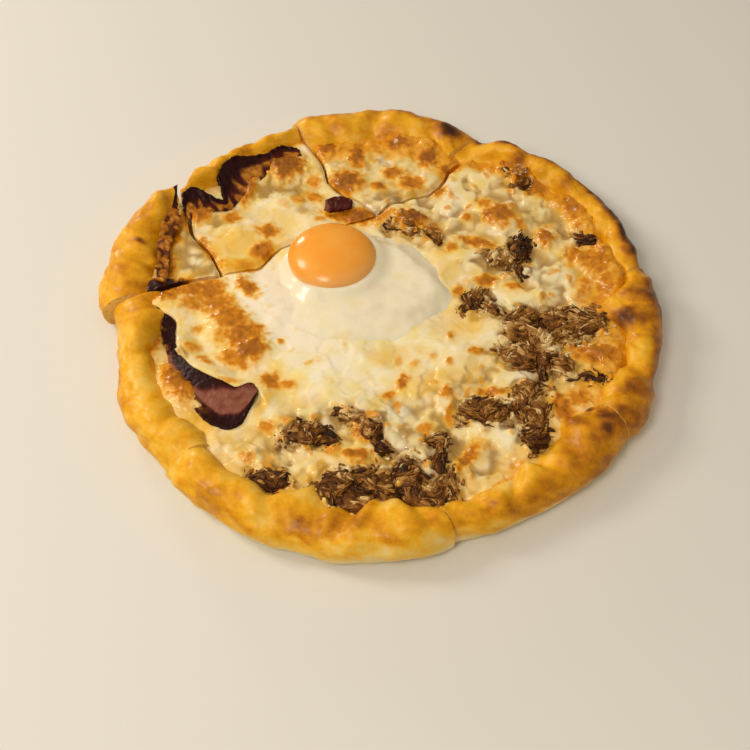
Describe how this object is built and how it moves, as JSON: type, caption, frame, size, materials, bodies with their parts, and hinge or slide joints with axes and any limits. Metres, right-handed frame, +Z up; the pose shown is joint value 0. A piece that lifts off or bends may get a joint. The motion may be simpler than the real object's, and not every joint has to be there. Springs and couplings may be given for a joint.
{
  "type": "round meat pide",
  "caption": "Round flat bread with a folded rim, filled with melted cheese, braised meat, cured beef and a baked egg, cut both ways into pieces that keep its shape.",
  "frame": {"origin": "on the flat underside, at the middle of the round, under the middle piece", "axes": "+Z up through the filling, +Y away from the eater, +X to the eater's right"},
  "size_m": [0.2554, 0.2612, 0.0267],
  "materials": {
    "bread_crust": "buttered golden crust with brown patches, satin",
    "melted_cheese": "oily melted cheese with browned blisters",
    "egg_white": "set egg white, smooth and moist",
    "egg_yolk": "soft yolk, smooth and glossy",
    "braised_meat": "fibrous shredded meat, moist",
    "cured_beef": "thin dried slices with charred edges, oily"
  },
  "bodies": {
    "root": {"bread_center": "bread_crust", "bread_west": "bread_crust", "bread_northwest": "bread_crust", "bread_north": "bread_crust", "bread_northeast": "bread_crust", "bread_east": "bread_crust", "bread_southeast": "bread_crust", "bread_south": "bread_crust", "bread_southwest": "bread_crust", "cheese_center": "melted_cheese", "cheese_west": "melted_cheese", "cheese_northwest": "melted_cheese", "cheese_north": "melted_cheese", "cheese_northeast": "melted_cheese", "cheese_east": "melted_cheese", "cheese_southeast": "melted_cheese", "cheese_south": "melted_cheese", "cheese_southwest": "melted_cheese", "egg_white": "egg_white", "egg_yolk": "egg_yolk", "meat_south_rim": "braised_meat", "meat_south_middle": "braised_meat", "meat_south_left": "braised_meat", "meat_south_cut": "braised_meat", "meat_southeast_rim": "braised_meat", "meat_southeast_inner": "braised_meat", "meat_southeast_outer": "braised_meat", "meat_east_main": "braised_meat", "meat_east_small": "braised_meat", "meat_northeast_inner": "braised_meat", "meat_northeast_middle": "braised_meat", "meat_northeast_rim": "braised_meat", "meat_northeast_far": "braised_meat", "meat_northeast_tip": "braised_meat", "beef_southwest": "cured_beef", "beef_northwest": "cured_beef", "beef_west": "cured_beef", "beef_northwest_tip": "cured_beef"}
  },
  "joints": []
}
